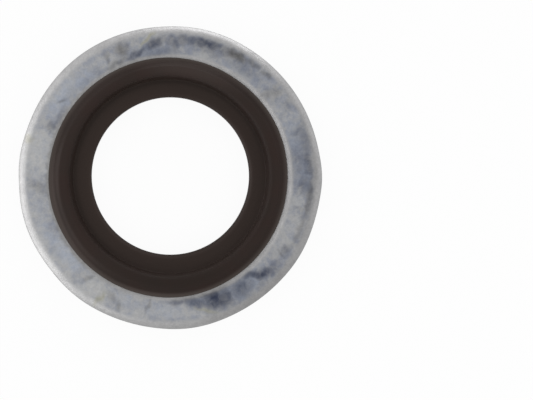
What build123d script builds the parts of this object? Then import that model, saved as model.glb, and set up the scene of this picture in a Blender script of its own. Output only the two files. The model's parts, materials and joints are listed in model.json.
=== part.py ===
from build123d import *
import os
from math import radians, tan

# Self-centring bonded seal ring for a 14 mm drain plug, 22 mm outside.
# A zinc plated steel washer carries a rubber seal that is moulded and bonded to its inner margin.
# All sizes are in millimetres. The ring's axis is Z, and the origin is the ring's centre.

# Drain plug that the ring fits
thread_diameter = 14.0
thread_root_diameter = 12.16
thread_clearance = 0.15

# Steel washer
washer_thickness = 2.0
steel_width = 2.85
margin_bevel_width = 0.68
margin_bevel_depth = 0.30
rolled_edge_width = 0.70
rolled_edge_depth = 0.32
burnished_height = 0.79
fracture_taper = 0.05
tumbled_edge = 0.16

# Rubber seal
rubber_wall = 1.0
lap_width = 0.50
lap_land_width = 0.27
lap_thickness = 0.18
flank_width = 0.38
lip_projection = 0.45
crest_drop = 0.07
crest_land_width = 0.12
lip_draft_angle = 5.0
web_thickness = 0.8
web_squeeze = 0.39
web_foot_radius = 0.15
web_edge_chamfer = 0.08

# Radii of the ring, from its axis outward
web_bore_radius = thread_root_diameter / 2 - web_squeeze
lip_wall_radius = thread_diameter / 2 + thread_clearance
washer_bore_radius = lip_wall_radius + rubber_wall
lap_edge_radius = washer_bore_radius + lap_width
flank_foot_radius = lap_edge_radius - lap_land_width
shoulder_radius = flank_foot_radius - flank_width
bevel_edge_radius = washer_bore_radius + margin_bevel_width
washer_outer_radius = washer_bore_radius + steel_width
rolled_edge_start = washer_outer_radius - rolled_edge_width
fracture_foot_radius = washer_outer_radius - fracture_taper

# Heights above the ring's middle plane
face_height = washer_thickness / 2
bevel_foot_height = face_height - margin_bevel_depth
bevel_slope = margin_bevel_depth / margin_bevel_width
lap_edge_height = bevel_foot_height + lap_width * bevel_slope
flank_foot_height = lap_edge_height - lap_land_width * bevel_slope + lap_thickness
web_face_height = web_thickness / 2
crest_height = face_height + lip_projection
shoulder_height = crest_height - crest_drop
rolled_edge_foot = face_height - rolled_edge_depth
burnish_foot = rolled_edge_foot - burnished_height

# The lip's inner wall leans outward by its draft, from the web up to the crest
lip_draft = (crest_height - web_face_height) * tan(radians(lip_draft_angle))
crest_inner_radius = lip_wall_radius + lip_draft
crest_outer_radius = crest_inner_radius + crest_land_width

# Steel washer: a blank whose upper outer edge was rolled over by the die
with BuildPart() as washer:
    with BuildSketch(Plane.XZ):
        with BuildLine():
            rolled_edge = TangentArc(
                (rolled_edge_start, face_height),
                (washer_outer_radius, rolled_edge_foot),
                tangent=(1, 0),
            )
            Polyline(
                rolled_edge @ 1,
                (washer_outer_radius, burnish_foot),
                (fracture_foot_radius, -face_height),
                (bevel_edge_radius, -face_height),
                (washer_bore_radius, -bevel_foot_height),
                (washer_bore_radius, bevel_foot_height),
                (bevel_edge_radius, face_height),
                rolled_edge @ 0,
            )
        make_face()
    revolve(axis=Axis.Z)

    # Tumbling has taken the burr off the lower outer edge
    lower_circles = washer.edges().filter_by(GeomType.CIRCLE).group_by(Axis.Z)[0]
    chamfer(lower_circles.sort_by(SortBy.RADIUS)[-1], tumbled_edge)

washer.part.label = "steel_washer"

# Rubber seal: one moulding, the same above and below the middle plane
with BuildPart() as seal:
    with BuildSketch(Plane.XZ):
        with BuildLine():
            Polyline(
                (washer_bore_radius, 0),
                (washer_bore_radius, bevel_foot_height),
                (lap_edge_radius, lap_edge_height),
                (flank_foot_radius, flank_foot_height),
                (shoulder_radius, shoulder_height),
                (crest_outer_radius, crest_height),
                (crest_inner_radius, crest_height),
                (lip_wall_radius, web_face_height),
                (web_bore_radius, web_face_height),
                (web_bore_radius, 0),
            )
            mirror(about=Plane.XZ)
        make_face()
    revolve(axis=Axis.Z)

    # Above and below, the web's bore edge is the smallest circle and the foot of the lip's wall the next
    web_edges, foot_edges = seal.edges().filter_by(GeomType.CIRCLE).group_by(SortBy.RADIUS)[:2]
    fillet(foot_edges, web_foot_radius)
    chamfer(web_edges, web_edge_chamfer)

seal.part.label = "rubber_seal"

# Each piece is written to its own file
os.makedirs("parts", exist_ok=True)
export_step(washer.part, "parts/steel_washer.step")
export_step(seal.part, "parts/rubber_seal.step")
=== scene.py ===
import json
from math import asin, cos, pi, radians, sin, tan

import bpy
import numpy as np
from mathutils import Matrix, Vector


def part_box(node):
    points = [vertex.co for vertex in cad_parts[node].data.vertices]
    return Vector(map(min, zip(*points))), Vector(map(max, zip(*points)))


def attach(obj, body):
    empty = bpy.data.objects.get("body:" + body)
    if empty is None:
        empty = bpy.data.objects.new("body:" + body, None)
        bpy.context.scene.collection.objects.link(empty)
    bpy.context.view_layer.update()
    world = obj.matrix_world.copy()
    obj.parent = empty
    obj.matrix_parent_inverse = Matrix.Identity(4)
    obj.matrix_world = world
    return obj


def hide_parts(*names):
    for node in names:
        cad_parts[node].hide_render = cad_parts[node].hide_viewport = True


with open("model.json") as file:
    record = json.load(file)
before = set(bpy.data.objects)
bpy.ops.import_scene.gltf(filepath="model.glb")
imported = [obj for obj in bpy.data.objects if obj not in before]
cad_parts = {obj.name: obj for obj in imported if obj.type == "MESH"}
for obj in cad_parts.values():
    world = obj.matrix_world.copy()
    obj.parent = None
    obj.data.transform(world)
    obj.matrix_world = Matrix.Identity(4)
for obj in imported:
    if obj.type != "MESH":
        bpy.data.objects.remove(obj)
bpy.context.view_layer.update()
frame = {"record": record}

MM = 0.001

# Sizes read from the frame
washer_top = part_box("steel_washer")[1]
seal_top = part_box("rubber_seal")[1]
washer_radius = washer_top.x / MM
face_height = washer_top.z / MM
crest_height = seal_top.z / MM
mounts = {mount["name"]: mount for mount in frame["record"]["mounts"]}
web_bore_radius = mounts["thread_grip"]["dims"]["r_mm"]

# Steel washer, in millimetres
steel_width = 2.85
bevel_width = 0.68
bevel_depth = 0.30
bevel_blend = 0.45
bore_edge_blend = 0.02
rolled_edge_width = 0.70
rolled_edge_depth = 0.32
rolled_edge_blend = 0.06
burnished_height = 0.79
fracture_taper = 0.05
fracture_blend = 0.50
fracture_sway = 0.07
fracture_fade = 0.12
fracture_depth = 0.012
fracture_roughness = 0.008
tumbled_edge = 0.16
dent_depth = 0.004
mark_warp_round = 0.10
mark_warp_across = 0.06
washer_bore_radius = washer_radius - steel_width
bevel_edge_radius = washer_bore_radius + bevel_width
bevel_foot = face_height - bevel_depth
burnish_foot = face_height - rolled_edge_depth - burnished_height

# Rubber seal, in millimetres
rubber_wall = 1.0
web_face = 0.40
web_foot_reach = 0.10
web_foot_radius = 0.06
web_edge_radius = 0.34
lip_draft_angle = 15.0
crest_land_width = 0.28
crest_edge_radius = 0.34
crest_outer_blend = 0.30
shoulder_radius = 8.00
shoulder_height = 1.385
shoulder_blend = 0.16
flank_foot_radius = 8.38
flank_foot_height = 0.985
flank_foot_blend = 0.20
lap_radius = 8.74
lap_edge_radius = 0.03
lap_growth = 0.03
bond_depth = 0.02
flow_depth = 0.004
film_width = 0.48
film_overrun = 0.06
lip_wall_radius = washer_bore_radius - rubber_wall
wall_foot_radius = lip_wall_radius - web_foot_reach
crest_inner_radius = wall_foot_radius + (crest_height - web_face) * tan(radians(lip_draft_angle))

# How far the moulding sits off the washer's centre, in millimetres. The lip's offset starts to become the
# lap's at the fade's distance inside the shoulder.
lap_offset = (-0.13, 0.0)
lip_offset = (0.01, 0.105)
offset_fade = 0.40

# Mesh fineness
STEPS_ROUND = 720
STEPS_ACROSS = 132
round_angle = np.linspace(0.0, 2.0 * pi, STEPS_ROUND, endpoint=False)


def rounded_section(corners, blends, steps, turn_weight=0.25):
    """A closed section with rounded corners, as two arrays of radius and height.

    Each corner gives way to an arc that touches both its sides: the arc starts the blend radius times the
    tangent of half the turn before the corner. The stations along the section are evenly spaced in its length
    plus turn_weight millimetres for each radian turned, so that they crowd on the arcs.
    """
    corners = np.array(corners, float)
    blends = np.array(blends, float)
    ahead = np.roll(corners, -1, axis=0) - corners
    ahead /= np.hypot(ahead[:, 0], ahead[:, 1])[:, None]
    behind = np.roll(ahead, 1, axis=0)
    turn = np.arctan2(behind[:, 0] * ahead[:, 1] - behind[:, 1] * ahead[:, 0], (behind * ahead).sum(axis=1))
    side = np.stack([-behind[:, 1], behind[:, 0]], axis=1) * np.sign(turn)[:, None]
    start = corners - behind * (blends * np.tan(np.abs(turn) / 2.0))[:, None]
    swept = np.abs(turn)[:, None] * np.linspace(0.0, 1.0, 12)
    forward = (blends[:, None] * np.sin(swept))[:, :, None] * behind[:, None, :]
    sideways = (blends[:, None] * (1.0 - np.cos(swept)))[:, :, None] * side[:, None, :]
    path = (start[:, None, :] + forward + sideways).reshape(-1, 2)
    path = np.concatenate([path, path[:1]])
    turned = swept + (np.cumsum(np.abs(turn)) - np.abs(turn))[:, None]
    turned = np.append(turned.ravel(), np.abs(turn).sum())
    length = np.append(0.0, np.cumsum(np.hypot(*np.diff(path, axis=0).T)))
    measure = length + turn_weight * turned
    stations = np.linspace(0.0, measure[-1], steps, endpoint=False)
    return np.interp(stations, measure, path[:, 0]), np.interp(stations, measure, path[:, 1])


def ripples(seed, across, orders, wave_length, waves=28):
    """Smooth unevenness, mostly between -1 and 1, on the grid of the section's stations and the angles.

    It is a sum of cosines, divided by the square root of their number. Each has a whole number of cycles
    round the ring, so that it closes on itself, a slope along the section and a phase, all three drawn from
    a seeded generator.
    """
    random = np.random.default_rng(seed)
    cycles = random.integers(orders[0], orders[1], waves)[:, None, None]
    slope = random.normal(0.0, 2.0 * pi / wave_length, waves)[:, None, None]
    phase = random.uniform(0.0, 2.0 * pi, waves)[:, None, None]
    field = np.cos(cycles * round_angle[None, None, :] + slope * across[None, :, None] + phase).sum(axis=0)
    return field / np.sqrt(waves)


def ring_mesh(name, radius, height, fields=None):
    """A closed ring mesh: each point is at (radius cos angle, radius sin angle, height).

    radius and height are grids in millimetres, by the section's stations and the angles. Each of the fields
    is such a grid too, kept as an attribute of the points.
    """
    stations, angles = radius.shape
    points = np.stack([radius * np.cos(round_angle), radius * np.sin(round_angle), height], axis=-1) * MM
    here = np.arange(stations * angles).reshape(stations, angles)
    beside = np.roll(here, -1, axis=1)
    quads = np.stack([here, beside, np.roll(beside, -1, axis=0), np.roll(here, -1, axis=0)], axis=-1)
    mesh = bpy.data.meshes.new(name)
    mesh.from_pydata(points.reshape(-1, 3), [], quads.reshape(-1, 4))
    mesh.polygons.foreach_set("use_smooth", np.ones(len(mesh.polygons), bool))
    for field, values in (fields or {}).items():
        attribute = mesh.attributes.new(field, "FLOAT", "POINT")
        attribute.data.foreach_set("value", np.ascontiguousarray(values, np.float32).ravel())
    mesh.update()
    ring = bpy.data.objects.new(name, mesh)
    bpy.context.collection.objects.link(ring)
    return ring


def soft_step(values, low, high):
    """0 below low, 1 above high and an S curve between them, three t squared less two t cubed."""
    t = np.clip((values - low) / (high - low), 0.0, 1.0)
    return t * t * (3.0 - 2.0 * t)


def soft_marks(marks, radius, height, warp_round, warp_across):
    """The depth of the marks on the upper face: the greatest of the soft ellipses that lie over a point.

    A mark is its angle in degrees, its radius, its half length along the ring, its half width across it,
    its lean in degrees and its depth. It fades as exp(-d to the power 3), in which d is the distance in the
    leaning mark's own half lengths and half widths. The warps, in millimetres, bend the marks' outlines.
    """
    depth = np.zeros(radius.shape)
    for angle, at_radius, half_length, half_width, lean, strength in marks:
        away = (round_angle - radians(angle) + pi) % (2.0 * pi) - pi
        along = away[None, :] * at_radius + warp_round
        across = radius - at_radius + warp_across
        u = (along * cos(radians(lean)) + across * sin(radians(lean))) / half_length
        v = (across * cos(radians(lean)) - along * sin(radians(lean))) / half_width
        depth = np.maximum(depth, strength * np.exp(-np.hypot(u, v) ** 3))
    return depth * (height > 0.0)


# Stains of the zinc's passivation on the upper face: angle, radius, half length, half width, lean, depth.
# The grey list also holds painted shade, on the bevel along the rubber's edge and on the rolled edge on the
# right. The pale zones are partly paler plating and partly painted light, which makes the left lighter. The
# pale and the bluish zones are broader and softer, and lie under the stains.
blue_stains = [
    (7, 9.52, 2.40, 0.70, 0, 0.40),
    (6, 9.95, 1.10, 0.32, 4, 0.62),
    (4, 9.45, 0.65, 0.40, 0, 0.46),
    (15, 9.98, 1.20, 0.46, 0, 0.46),
    (19.5, 9.75, 0.45, 0.58, -10, 0.46),
    (32, 9.95, 0.35, 0.32, 0, 0.22),
    (50, 9.60, 0.50, 0.60, 0, 0.20),
    (56, 9.50, 1.50, 0.46, 0, 0.34),
    (67, 9.78, 0.55, 0.30, 0, 0.40),
    (75, 10.02, 1.42, 0.45, 0, 0.80),
    (72, 9.55, 1.30, 0.34, 0, 0.30),
    (84, 9.98, 0.95, 0.46, 0, 0.48),
    (87.5, 9.65, 0.40, 0.60, 0, 0.52),
    (90, 9.90, 0.60, 0.50, 0, 0.40),
    (95, 9.18, 1.50, 0.42, 0, 0.50),
    (97, 9.70, 0.80, 0.42, -25, 0.78),
    (104, 9.28, 0.90, 0.28, -12, 0.74),
    (125, 9.25, 0.50, 0.42, 0, 0.22),
    (131, 9.22, 0.80, 0.28, 0, 0.26),
    (139, 9.40, 0.90, 0.40, 0, 0.12),
    (151, 9.12, 1.00, 0.22, 0, 0.34),
    (203, 9.50, 0.90, 0.50, 0, 0.10),
    (212, 9.88, 0.95, 0.32, 0, 0.12),
    (273, 9.02, 0.80, 0.20, 0, 0.46),
    (281.5, 9.25, 1.05, 0.34, 26, 0.72),
    (285.5, 9.18, 0.60, 0.40, 0, 0.62),
    (291.5, 9.50, 1.15, 0.68, 0, 0.88),
    (289, 9.15, 0.80, 0.42, 0, 0.96),
    (295.5, 9.48, 0.68, 0.68, 0, 0.86),
    (303, 9.50, 1.00, 0.72, 0, 0.72),
    (311.6, 9.42, 1.16, 0.38, 36, 0.90),
    (315.0, 9.74, 0.70, 0.38, 10, 0.80),
    (310, 10.00, 0.70, 0.36, 0, 0.28),
    (319.5, 9.92, 0.60, 0.40, 0, 0.42),
    (327, 9.86, 0.46, 0.54, 0, 0.18),
    (357, 9.72, 0.80, 0.66, 0, 0.56),
]
grey_stains_and_painted_shade = [
    (38.5, 9.80, 0.34, 0.56, 0, 0.34),
    (40.5, 9.25, 0.32, 0.46, 0, 0.32),
    (47, 10.22, 0.40, 0.18, 0, 0.45),
    (54, 10.18, 0.60, 0.20, 0, 0.50),
    (61, 10.04, 0.95, 0.34, 0, 0.78),
    (110.6, 9.86, 0.46, 0.50, 0, 0.66),
    (118, 9.70, 0.15, 0.55, 20, 0.36),
    (115, 9.06, 1.00, 0.26, -8, 0.46),
    (144.5, 9.55, 0.42, 0.12, 38, 0.46),
    (156.5, 9.30, 0.36, 0.52, 0, 0.34),
    (183.2, 9.50, 0.26, 0.75, 0, 0.30),
    (186, 9.20, 0.60, 0.50, 0, 0.26),
    (231, 9.35, 0.18, 0.55, 32, 0.34),
    (244, 9.62, 0.50, 0.22, 30, 0.36),
    (248, 9.98, 0.18, 0.50, -20, 0.32),
    (260.5, 9.35, 0.11, 0.70, 6, 0.38),
    (313, 10.50, 0.10, 0.45, 0, 0.30),
    (325.8, 9.74, 0.15, 0.46, 14, 0.30),
    (328.2, 9.96, 0.18, 0.42, -12, 0.30),
    (346.5, 9.70, 0.22, 0.50, 0, 0.20),
    (351, 10.22, 1.50, 0.22, 0, 0.54),
    (338, 10.12, 1.60, 0.24, 0, 0.34),
    (3, 10.24, 1.20, 0.22, 0, 0.30),
    # These three darken the bevel along the rubber's edge; the long one on the left is painted shade.
    (185, 8.84, 9.50, 0.16, 0, 0.34),
    (288, 8.86, 2.20, 0.20, 0, 0.30),
    (108, 8.84, 2.20, 0.18, 0, 0.20),
    # Painted shade: these two dim the rolled edge on the right, away from the lamps.
    (309, 10.72, 4.80, 0.50, 0, 0.24),
    (357, 10.45, 6.60, 0.18, 0, 0.22),
]
yellow_stains = [
    (99.5, 10.15, 0.70, 0.14, -35, 0.75),
    (165, 10.60, 0.22, 0.40, 0, 0.35),
    (240, 10.15, 0.24, 0.60, 12, 0.55),
    (285.5, 10.02, 0.85, 0.12, 28, 0.50),
]
# Partly paler plating and partly painted light: the strongest zones lie on the left, making it lighter.
pale_zones_and_painted_light = [
    (26, 9.60, 0.60, 0.75, 0, 0.45),
    (34, 9.30, 0.60, 0.50, 0, 0.35),
    (75, 9.25, 0.55, 0.30, 0, 0.40),
    (99, 10.40, 1.00, 0.30, 0, 0.50),
    (122, 9.80, 0.80, 0.80, 0, 0.40),
    (138, 10.10, 2.40, 0.70, 0, 0.60),
    (169, 9.70, 2.10, 1.10, 0, 0.95),
    (192, 9.80, 1.40, 0.90, 0, 0.65),
    (212, 10.05, 3.20, 0.85, 0, 0.80),
    (236, 9.80, 1.50, 0.90, 0, 0.95),
    (256, 9.80, 2.20, 0.90, 0, 0.62),
    (276, 10.05, 1.40, 0.55, 18, 0.45),
    (280, 10.02, 0.80, 0.35, 0, 0.70),
    (335, 9.50, 1.50, 0.90, 0, 0.42),
    (350, 9.40, 0.70, 0.42, 0, 0.80),
]
bluish_zones = [
    (3, 9.42, 0.90, 0.60, 0, 0.80),
    (17, 9.42, 1.10, 0.60, 0, 0.85),
    (56, 9.30, 1.50, 0.50, 0, 0.40),
    (97, 9.15, 1.50, 0.50, 0, 0.90),
    (131, 9.30, 1.20, 0.45, 0, 0.80),
    (143, 9.65, 1.80, 0.65, 0, 0.85),
    (204, 9.75, 1.20, 0.45, 0, 0.60),
    (212, 9.55, 1.20, 0.60, 0, 0.80),
    (219, 9.40, 0.90, 0.50, 0, 0.80),
    (249, 9.35, 0.90, 0.40, 0, 0.40),
    (268, 9.60, 1.20, 0.60, 0, 0.50),
    (284, 9.12, 0.90, 0.42, 0, 1.00),
    (296, 9.05, 0.60, 0.40, 0, 1.00),
    (304, 9.50, 1.40, 0.70, 0, 1.00),
    (358, 9.90, 0.80, 0.40, 0, 0.80),
]

# Painted sheen and painted shade on the rubber's upper side, as above. The first list is painted sheen and
# highlights: on the crest and flank, most at the top and left, at the lap's edge on the left and below, on
# the lip's wall on the right and at the bore's edge.
painted_sheen_on_rubber = [
    (78, 7.95, 3.20, 0.60, 0, 0.46),
    (85, 8.16, 3.20, 0.20, 0, 0.58),
    (95, 8.38, 3.00, 0.20, 0, 0.34),
    (130, 8.28, 3.60, 0.32, 0, 0.22),
    (180, 8.18, 3.00, 0.15, 0, 0.42),
    (212, 8.16, 3.00, 0.14, 0, 0.30),
    (200, 8.58, 6.50, 0.19, 0, 1.00),
    (135, 8.60, 3.50, 0.16, 0, 0.60),
    (262, 8.55, 3.50, 0.16, 0, 0.70),
    (0, 8.12, 5.00, 0.16, 0, 0.14),
    (290, 7.10, 6.40, 0.11, 0, 0.36),
    (345, 7.02, 3.60, 0.10, 0, 0.30),
    (60, 7.05, 4.60, 0.07, 0, 0.09),
    (20, 5.78, 9.00, 0.18, 0, 0.40),
    (225, 5.76, 9.00, 0.12, 0, 0.26),
]
# Painted shade: in the valley at the lip's foot, along the crest's inner edge and over the crest below.
painted_shade_on_rubber = [
    (273, 7.68, 4.80, 0.46, 0, 0.60),
    (120, 6.97, 11.00, 0.20, 0, 0.50),
    (350, 7.42, 4.50, 0.14, 0, 0.30),
    (10, 7.28, 3.40, 0.12, 0, 0.38),
    (165, 7.27, 8.50, 0.10, 0, 0.24),
    (40, 6.92, 4.60, 0.14, 0, 0.40),
    (205, 6.92, 4.60, 0.20, 0, 0.44),
]

# Swells of the outer edge, left by the blanking, of the rubber's edge, left by the flash, and of the lip's
# wall, which isn't quite round: angle, half width in degrees, height in millimetres
outer_swells = [
    (0, 8, 0.085),
    (75, 14, 0.060),
    (125, 22, 0.075),
    (173, 9, 0.060),
    (198, 13, 0.085),
    (232, 11, 0.050),
    (279, 13, 0.085),
    (328, 10, 0.045),
]
lap_swells = [
    (86, 25, 0.050),
    (190, 16, 0.045),
    (275, 22, 0.065),
    (25, 22, 0.060),
]
lip_swells = [
    (133, 52, 0.130),
    (200, 60, 0.130),
    (270, 60, 0.130),
]


def swelling(swells):
    """The change of an edge's radius by angle: bell curves, lowered so that the highest one ends at 0."""
    rise = np.zeros(STEPS_ROUND)
    for angle, half_width, height in swells:
        away = (np.degrees(round_angle) - angle + 180.0) % 360.0 - 180.0
        rise = np.maximum(rise, height * np.exp(-(away / half_width) ** 2))
    return rise - rise.max()


def make_washer():
    """The washer: its rounded section turned about the axis, with the marks of blanking and tumbling.

    The section runs outward along the lower face, up the side wall and back over the rolled edge, the upper
    face and the bevel. The roll is one arc, tangent to the face, of radius (width squared + depth squared)
    over twice the depth, and stops just short of the wall's own blend. The side wall's fracture band has a
    wavy upper limit and a rough surface. Tumbling has left shallow dents, deeper towards the edge, where the
    ripples rise past dent_start, and no deeper than at dent_cap.
    """
    dent_start, dent_cap = 0.6, 2.0
    roll_radius = (rolled_edge_width ** 2 + rolled_edge_depth ** 2) / (2.0 * rolled_edge_depth)
    roll_reach = roll_radius * tan(asin(rolled_edge_width / roll_radius) / 2.0)
    roll_blend = roll_radius * 0.98
    rolled_edge_start = washer_radius - rolled_edge_width
    fracture_radius = washer_radius - fracture_taper
    section = [
        ((washer_bore_radius, -bevel_foot), bore_edge_blend),
        ((bevel_edge_radius, -face_height), bevel_blend),
        ((fracture_radius, -face_height), tumbled_edge),
        ((washer_radius, burnish_foot), fracture_blend),
        ((washer_radius, face_height - rolled_edge_depth), rolled_edge_blend),
        ((rolled_edge_start + roll_reach, face_height), roll_blend),
        ((bevel_edge_radius, face_height), bevel_blend),
        ((washer_bore_radius, bevel_foot), bore_edge_blend),
    ]
    radius, height = rounded_section(*zip(*section), STEPS_ACROSS)

    # The swells and the dents grow outward over the face, and the fracture is on the side wall alone
    outward = soft_step(radius, bevel_edge_radius + 0.8, washer_radius)[:, None]
    sway = ripples(seed=3, across=height, orders=(2, 40), wave_length=6.0)
    fracture = soft_step(burnish_foot + fracture_sway * sway - height[:, None], 0.0, fracture_fade)
    fracture *= soft_step(radius, washer_radius - 0.3, washer_radius - 0.1)[:, None]
    roughness = ripples(seed=5, across=height, orders=(60, 330), wave_length=0.5)
    dents = ripples(seed=7, across=radius + height, orders=(5, 70), wave_length=1.2)
    dents = np.clip(dents, dent_start, dent_cap) - dent_start
    radius = radius[:, None] + swelling(outer_swells)[None, :] * outward
    radius = radius - fracture * (fracture_depth + fracture_roughness * roughness)
    height = height[:, None] * (1.0 - dent_depth * dents * outward)

    # The marks' outlines, and how the finish changes over from the bevel to the face and on to the roll
    warp_round = mark_warp_round * ripples(seed=11, across=radius[:, 0], orders=(6, 90), wave_length=1.4)
    warp_across = mark_warp_across * ripples(seed=13, across=radius[:, 0], orders=(6, 90), wave_length=1.4)
    clean_bevel = soft_step(radius, bevel_edge_radius - 0.02, bevel_edge_radius + 0.22)
    stained_margin = soft_step(radius, bevel_edge_radius - 0.15, bevel_edge_radius + 0.10)
    clean_roll = 1.0 - soft_step(radius, rolled_edge_start - 0.05, rolled_edge_start + 0.30)

    def bent_marks(marks, bend=1.0):
        """The depth of the marks, bent by the warps times bend."""
        return soft_marks(marks, radius, height, bend * warp_round, bend * warp_across)

    # The grey stain marks hold painted shade too, and the pale zones painted light on the left.
    fields = {
        "blue_stain": bent_marks(blue_stains) * stained_margin * clean_roll,
        "grey_stain_and_painted_shade": bent_marks(grey_stains_and_painted_shade),
        "yellow_stain": bent_marks(yellow_stains),
        "pale_zone_and_painted_light": bent_marks(pale_zones_and_painted_light, bend=3.0),
        "bluish_zone": bent_marks(bluish_zones, bend=2.0),
        "face": clean_bevel * clean_roll,
        "fracture": fracture,
    }
    return ring_mesh("zinc_washer", radius, height, fields)


def make_seal():
    """The seal: its rounded half section, mirrored below, turned about a slightly wandering axis.

    The section runs from the bonded wall over the lap on the bevel, up the flank, over the shoulder and the
    crest, down the leaning lip wall and in along the web to its bore. Each station is moved by its offset
    (x, y), which changes its radius by x cos angle + y sin angle. The swells are added on the lap and on the
    lip's wall, and the lap's edge rides up the bevel as it moves outward. The bonded wall isn't moved. The
    sides that show are sunk a little by the flow of the rubber in the mould.
    """
    bevel_slope = bevel_depth / bevel_width
    lap_height = bevel_foot + (lap_radius - washer_bore_radius) * bevel_slope
    upper = [
        ((washer_bore_radius, bevel_foot - bond_depth), 0.0),
        ((lap_radius, lap_height - bond_depth), lap_edge_radius),
        ((flank_foot_radius, flank_foot_height), flank_foot_blend),
        ((shoulder_radius, shoulder_height), shoulder_blend),
        ((crest_inner_radius + crest_land_width, crest_height), crest_outer_blend),
        ((crest_inner_radius, crest_height), crest_edge_radius),
        ((wall_foot_radius, web_face), web_foot_radius),
        ((web_bore_radius, web_face), web_edge_radius),
    ]
    lower = [((r, -z), blend) for (r, z), blend in reversed(upper)]
    radius, height = rounded_section(*zip(*upper, *lower), STEPS_ACROSS)

    # Where each of the changes below holds, as shares along the section
    bonded = (np.abs(height) < bevel_foot - bond_depth / 2.0) & (radius > washer_bore_radius - 0.1)
    moved = 1.0 - bonded
    outer = soft_step(radius, shoulder_radius - offset_fade, flank_foot_radius)
    wall = soft_step(radius, web_bore_radius + 0.7, wall_foot_radius - 0.05)
    wall *= (1.0 - soft_step(radius, crest_inner_radius, shoulder_radius)) * moved
    on_bevel = soft_step(radius, washer_bore_radius - 0.01, lap_radius) * (radius > washer_bore_radius)
    near_lap = soft_step(-np.abs(np.abs(height) - lap_height), -0.30, 0.0) * on_bevel
    sunk = soft_step(radius, web_bore_radius, web_bore_radius + 0.4) * moved * (1.0 - outer)

    offset_x = (lip_offset[0] * (1.0 - outer) + lap_offset[0] * outer) * moved
    offset_y = (lip_offset[1] * (1.0 - outer) + lap_offset[1] * outer) * moved
    change = offset_x[:, None] * np.cos(round_angle) + offset_y[:, None] * np.sin(round_angle)
    change = change + (swelling(lap_swells) + lap_growth)[None, :] * (outer * moved)[:, None]
    change = change + swelling(lip_swells)[None, :] * wall[:, None]
    side = np.sign(height)[:, None]
    rise = side * change * bevel_slope * near_lap[:, None]
    flow = ripples(seed=17, across=radius + height, orders=(3, 26), wave_length=1.5)

    # The thin film at the lap's edge, and the web, which is a little paler on its left as painted light
    film = soft_step(radius, lap_radius - film_width, lap_radius + film_overrun)
    film = film[:, None] * np.ones(STEPS_ROUND)
    web = 1.0 - soft_step(radius, lip_wall_radius - 0.15, crest_inner_radius)
    web = web[:, None] * (0.85 - 0.15 * np.cos(round_angle))
    radius = radius[:, None] + change
    height = height[:, None] + rise - flow_depth * side * (flow + 2.0) * sunk[:, None]
    fields = {
        "painted_sheen": soft_marks(painted_sheen_on_rubber, radius, height, 0.0, 0.0),
        "painted_shade": soft_marks(painted_shade_on_rubber, radius, height, 0.0, 0.0),
        "film": film,
        "web": web,
    }
    return ring_mesh("rubber_lip_and_web", radius, height, fields)


def shader_node(tree, kind, sockets=None, **settings):
    """A new node with its settings and its sockets filled: each takes a number, a colour or an output."""
    made = tree.nodes.new(kind)
    for name, value in settings.items():
        setattr(made, name, value)
    for socket, value in (sockets or {}).items():
        if isinstance(value, bpy.types.NodeSocket):
            tree.links.new(value, made.inputs[socket])
        else:
            made.inputs[socket].default_value = value
    return made


def millimetres(tree):
    """The object's own coordinates, in millimetres."""
    place = shader_node(tree, "ShaderNodeTexCoord")
    scaled = shader_node(tree, "ShaderNodeMapping", {
        "Vector": place.outputs["Object"], "Scale": (1.0 / MM,) * 3})
    return scaled.outputs["Vector"]


def noise(tree, vector, scale, detail=4.0, roughness=0.55, distortion=0.0):
    """Cloudy noise between 0 and 1."""
    made = shader_node(tree, "ShaderNodeTexNoise", {
        "Vector": vector, "Scale": scale, "Detail": detail, "Roughness": roughness, "Distortion": distortion})
    return made.outputs["Fac"]


def sums(tree, operation, *values):
    """A chain of one kind of sum over its values, from the left."""
    total = values[0]
    for value in values[1:]:
        total = shader_node(tree, "ShaderNodeMath", {0: total, 1: value}, operation=operation).outputs[0]
    return total


def ramp(tree, value, low, high, start=0.0, end=1.0):
    """start below low, end above high, and an S curve between them."""
    made = shader_node(tree, "ShaderNodeMapRange", {
        "Value": value, "From Min": low, "From Max": high, "To Min": start, "To Max": end},
        interpolation_type="SMOOTHSTEP")
    return made.outputs["Result"]


def mixed(tree, factor, first, second, blend="MIX"):
    """The first colour going over by the factor to the second, or to the two of them blended otherwise."""
    made = shader_node(tree, "ShaderNodeMix", {0: factor, 6: first, 7: second},
                       data_type="RGBA", blend_type=blend)
    return made.outputs[2]


def field(tree, name):
    """One of the piece's own point attributes."""
    return shader_node(tree, "ShaderNodeAttribute", attribute_name=name).outputs["Fac"]


def ring_coordinates(tree, vector, radial_scale, round_scale):
    """Coordinates in which a noise becomes rings.

    The radius plus 1.3 times the height is taken by one scale, and the direction from the axis by another.
    """
    parts = shader_node(tree, "ShaderNodeSeparateXYZ", {0: vector})
    x, y, z = (parts.outputs[axis] for axis in "XYZ")
    squares = sums(tree, "ADD", sums(tree, "MULTIPLY", x, x), sums(tree, "MULTIPLY", y, y))
    distance = sums(tree, "POWER", squares, 0.5)
    rise = sums(tree, "ADD", distance, sums(tree, "MULTIPLY", z, 1.3))
    joined = shader_node(tree, "ShaderNodeCombineXYZ", {
        "X": sums(tree, "MULTIPLY", rise, radial_scale),
        "Y": sums(tree, "MULTIPLY", sums(tree, "DIVIDE", x, distance), round_scale),
        "Z": sums(tree, "MULTIPLY", sums(tree, "DIVIDE", y, distance), round_scale)})
    return joined.outputs[0]


def bumped(tree, height, strength, distance, normal=None):
    """The surface normal after a bump of that height in metres."""
    sockets = {"Height": height, "Strength": strength, "Distance": distance}
    if normal is not None:
        sockets["Normal"] = normal
    return shader_node(tree, "ShaderNodeBump", sockets).outputs["Normal"]


def new_material(name):
    """An empty material with its tree and its main shader."""
    material = bpy.data.materials.new(name)
    material.use_nodes = True
    return material, material.node_tree, material.node_tree.nodes["Principled BSDF"]


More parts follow.
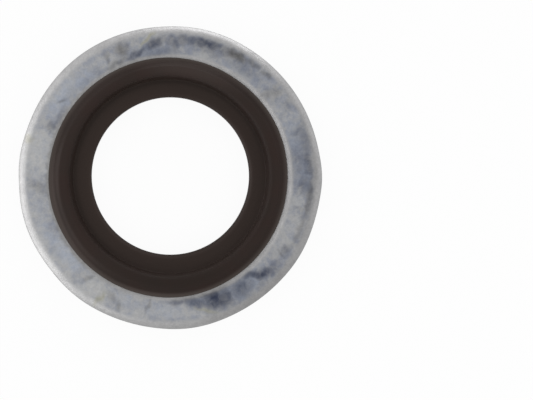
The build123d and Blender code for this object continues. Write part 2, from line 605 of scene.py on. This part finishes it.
def zinc_finish():
    """Dull zinc plating: pale grey with cloudy blue and grey passivation, tumbled smooth on its edges.

    The zones and the stains are the piece's own fields, broken up by noise. The pale zones are partly paler
    plating and partly painted light on the left, and the grey stains hold painted shade on the bevel and the
    rim. The bevel and the rolled edge are a plain light grey, brighter in the pale zones, with only those
    stains that reach onto them.
    """
    clean_grey = (0.328, 0.326, 0.329, 1.0)
    light_grey = (0.355, 0.352, 0.354, 1.0)
    bright_grey = (0.385, 0.385, 0.384, 1.0)
    cloud_grey = (0.310, 0.312, 0.319, 1.0)
    cloud_blue = (0.232, 0.246, 0.286, 1.0)
    pale_grey = (0.384, 0.384, 0.383, 1.0)
    pale_blue = (0.330, 0.340, 0.360, 1.0)
    clear_blue = (0.312, 0.338, 0.392, 1.0)
    deep_blue = (0.039, 0.046, 0.073, 1.0)
    deep_grey = (0.070, 0.066, 0.062, 1.0)
    dull_yellow = (0.30, 0.29, 0.21, 1.0)

    material, tree, shader = new_material("zinc plating")
    place = millimetres(tree)
    cloud = noise(tree, place, scale=0.9, detail=5.0, roughness=0.6, distortion=0.5)
    blotch = noise(tree, place, scale=1.9, detail=4.0, roughness=0.6, distortion=0.5)
    veins = noise(tree, place, scale=3.2, detail=2.0, roughness=0.5, distortion=0.8)
    grain = noise(tree, place, scale=7.0, detail=4.0, roughness=0.7)
    face = field(tree, "face")
    patchy = sums(tree, "ADD", sums(tree, "MULTIPLY", cloud, 0.5), sums(tree, "MULTIPLY", blotch, 0.5))
    broken = ramp(tree, blotch, 0.30, 0.70, 0.82, 1.10)

    clean = mixed(tree, ramp(tree, cloud, 0.35, 0.65), clean_grey, light_grey)
    # Brighter in the pale zones: partly paler plating, partly painted light on the left.
    clean = mixed(tree, field(tree, "pale_zone_and_painted_light"), clean, bright_grey)
    clouded = mixed(tree, ramp(tree, patchy, 0.40, 0.62), cloud_grey, cloud_blue)
    pale = mixed(tree, ramp(tree, patchy, 0.42, 0.66), pale_grey, pale_blue)
    zoned = mixed(tree, field(tree, "pale_zone_and_painted_light"), clouded, pale)
    bluish = sums(tree, "MULTIPLY", field(tree, "bluish_zone"), ramp(tree, patchy, 0.38, 0.60, 0.55, 1.0))
    zoned = mixed(tree, bluish, zoned, clear_blue)
    colour = mixed(tree, face, clean, zoned)

    def stained(name, under, tint):
        """The colour under a stain going over to its tint, as deep as the field times the broken noise."""
        depth = sums(tree, "MINIMUM", sums(tree, "MULTIPLY", field(tree, name), broken), 1.0)
        return mixed(tree, depth, under, tint)

    colour = stained("blue_stain", colour, deep_blue)
    # The grey stains include painted shade on the bevel and the rolled edge.
    colour = stained("grey_stain_and_painted_shade", colour, deep_grey)
    colour = stained("yellow_stain", colour, dull_yellow)
    speckle = sums(tree, "MULTIPLY", ramp(tree, grain, 0.30, 0.70, 0.94, 1.05),
                   ramp(tree, veins, 0.35, 0.65, 0.965, 1.035))
    speckle_grey = shader_node(tree, "ShaderNodeCombineColor", {0: speckle, 1: speckle, 2: speckle})
    colour = mixed(tree, 1.0, colour, speckle_grey.outputs[0], "MULTIPLY")
    tree.links.new(colour, shader.inputs["Base Color"])

    worn = sums(tree, "SUBTRACT", 1.0, face)
    dull = sums(tree, "SUBTRACT", sums(tree, "ADD", 0.44, sums(tree, "MULTIPLY", blotch, 0.12)),
                sums(tree, "MULTIPLY", worn, 0.03))
    dull = sums(tree, "ADD", dull, sums(tree, "MULTIPLY", field(tree, "fracture"), 0.12))
    tree.links.new(dull, shader.inputs["Roughness"])
    shader.inputs["Metallic"].default_value = 1.0

    lines = noise(tree, ring_coordinates(tree, place, 9.0, 1.5), scale=1.0, detail=3.0, roughness=0.6)
    normal = bumped(tree, blotch, 0.35, 0.00003)
    normal = bumped(tree, grain, 0.25, 0.00001, normal)
    normal = bumped(tree, lines, 0.20, 0.00001, normal)
    tree.links.new(normal, shader.inputs["Normal"])
    return material


def rubber_finish():
    """Moulded brown black rubber: a soft sheen, faint rings left by the turned mould and a fine matt grain.

    The web is a little paler than the lip, and paler still on its left as painted light. The painted shade
    and the painted sheen marks, and the thin film at the lap's edge, are the piece's own fields.
    """
    brown_black = (0.0298, 0.0190, 0.0162, 1.0)
    grey_black = (0.0280, 0.0195, 0.0166, 1.0)
    # The web's brown is mixed in more on its left as painted light; then painted shade and painted sheen.
    web_brown_with_painted_light = (0.0354, 0.0249, 0.0209, 1.0)
    painted_shade_brown = (0.0190, 0.0138, 0.0112, 1.0)
    painted_sheen_brown = (0.0660, 0.0500, 0.0450, 1.0)
    film_grey = (0.0800, 0.0670, 0.0600, 1.0)

    material, tree, shader = new_material("seal rubber")
    place = millimetres(tree)
    tone = noise(tree, place, scale=0.55, detail=3.0, roughness=0.5, distortion=0.4)
    grain = noise(tree, place, scale=14.0, detail=3.0, roughness=0.6)
    rings = noise(tree, ring_coordinates(tree, place, 5.5, 1.2), scale=1.0, detail=4.0, roughness=0.62)
    colour = mixed(tree, ramp(tree, tone, 0.35, 0.65), brown_black, grey_black)
    colour = mixed(tree, field(tree, "web"), colour, web_brown_with_painted_light)
    # Painted shade darkens the rubber and painted sheen lightens it, by their fields.
    colour = mixed(tree, field(tree, "painted_shade"), colour, painted_shade_brown)
    colour = mixed(tree, field(tree, "painted_sheen"), colour, painted_sheen_brown)
    colour = mixed(tree, field(tree, "film"), colour, film_grey)
    tree.links.new(colour, shader.inputs["Base Color"])
    tree.links.new(ramp(tree, rings, 0.2, 0.8, 0.44, 0.58), shader.inputs["Roughness"])
    shader.inputs["Specular IOR Level"].default_value = 0.08
    normal = bumped(tree, rings, 0.35, 0.00002)
    normal = bumped(tree, grain, 0.15, 0.000006, normal)
    tree.links.new(normal, shader.inputs["Normal"])
    return material


def seen_directly(tree):
    """1 for rays from the camera and for those that a gloss or a glass sends on, 0 for diffuse light."""
    path = shader_node(tree, "ShaderNodeLightPath")
    seen = (path.outputs[name] for name in ("Is Camera Ray", "Is Glossy Ray", "Is Transmission Ray"))
    return sums(tree, "MINIMUM", sums(tree, "ADD", *seen), 1.0)


def make_world(diffuse_level):
    """A white surround at strength 1 where it is seen or mirrored, and dimmer as a light."""
    world = bpy.data.worlds.new("white surround")
    world.use_nodes = True
    tree = world.node_tree
    background = tree.nodes["Background"]
    background.inputs["Color"].default_value = (1.0, 1.0, 1.0, 1.0)
    strength = ramp(tree, seen_directly(tree), 0.0, 1.0, diffuse_level, 1.0)
    tree.links.new(strength, background.inputs["Strength"])
    bpy.context.scene.world = world


def make_floor(height, reach, lift):
    """A white floor that the ring rests on. Seen directly it is lifted towards white and keeps its shadow."""
    mesh = bpy.data.meshes.new("floor")
    mesh.from_pydata([(-reach, -reach, height), (reach, -reach, height), (reach, reach, height),
                      (-reach, reach, height)], [], [(0, 1, 2, 3)])
    floor = bpy.data.objects.new("floor", mesh)
    bpy.context.collection.objects.link(floor)
    material, tree, shader = new_material("floor white")
    shader.inputs["Base Color"].default_value = (0.92, 0.92, 0.92, 1.0)
    shader.inputs["Roughness"].default_value = 1.0
    shader.inputs["Specular IOR Level"].default_value = 0.0
    glow = shader_node(tree, "ShaderNodeEmission", {"Color": (1.0, 1.0, 1.0, 1.0), "Strength": 1.0})
    share = sums(tree, "MULTIPLY", seen_directly(tree), lift)
    both = shader_node(tree, "ShaderNodeMixShader", {0: share, 1: shader.outputs[0], 2: glow.outputs[0]})
    tree.links.new(both.outputs[0], tree.nodes["Material Output"].inputs["Surface"])
    mesh.materials.append(material)


def soft_lamp(name, azimuth, elevation, distance, width, height, radiance):
    """A lamp panel that faces the ring. Its power is its radiance times pi times its area.

    It shows only in a gloss: the white surround alone gives the even light.
    """
    direction = Vector((cos(radians(elevation)) * cos(radians(azimuth)),
                        cos(radians(elevation)) * sin(radians(azimuth)), sin(radians(elevation))))
    light = bpy.data.lights.new(name, "AREA")
    light.shape = "RECTANGLE"
    light.size = width
    light.size_y = height
    light.energy = radiance * pi * width * height
    lamp = bpy.data.objects.new(name, light)
    lamp.location = direction * distance
    lamp.rotation_euler = direction.to_track_quat("Z", "Y").to_euler()
    lamp.visible_camera = False
    lamp.visible_diffuse = False
    bpy.context.collection.objects.link(lamp)


def make_camera():
    """A long lens straight above, at the distance where one pixel of 533 across spans the right millimetres.

    The ring's centre lands left of and above the middle of the picture, so the camera stands to its right
    and a little towards -Y.
    """
    picture_width, picture_height = 533, 400
    ring_pixel = (170.2, 177.5)
    pixel_size = 0.07245 * MM
    camera_data = bpy.data.cameras.new("camera")
    camera_data.lens = 400.0
    camera_data.sensor_width = 36.0
    camera_data.clip_start = 0.01
    camera_data.clip_end = 20.0
    camera = bpy.data.objects.new("camera", camera_data)
    camera.location = ((picture_width / 2.0 - ring_pixel[0]) * pixel_size,
                       (ring_pixel[1] - picture_height / 2.0) * pixel_size,
                       picture_width * pixel_size * camera_data.lens / camera_data.sensor_width)
    bpy.context.collection.objects.link(camera)
    bpy.context.scene.camera = camera


washer = make_washer()
washer.data.materials.append(zinc_finish())
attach(washer, "root")
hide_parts("steel_washer")

seal = make_seal()
seal.data.materials.append(rubber_finish())
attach(seal, "root")
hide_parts("rubber_seal")

make_world(diffuse_level=0.90)
make_floor(height=-crest_height * MM, reach=2.0, lift=0.94)
soft_lamp("low lamp on the left", azimuth=192.0, elevation=14.0, distance=0.080,
          width=0.115, height=0.036, radiance=2.35)
soft_lamp("high lamp on the left", azimuth=194.0, elevation=46.0, distance=0.100,
          width=0.170, height=0.030, radiance=1.3)
soft_lamp("weak lamp on the right", azimuth=22.0, elevation=12.0, distance=0.100,
          width=0.100, height=0.030, radiance=0.5)
soft_lamp("weak lamp between", azimuth=128.0, elevation=12.0, distance=0.100,
          width=0.090, height=0.030, radiance=0.6)
soft_lamp("lamp behind", azimuth=77.0, elevation=9.0, distance=0.100,
          width=0.072, height=0.030, radiance=4.5)
make_camera()
bpy.context.scene.view_settings.view_transform = "Standard"
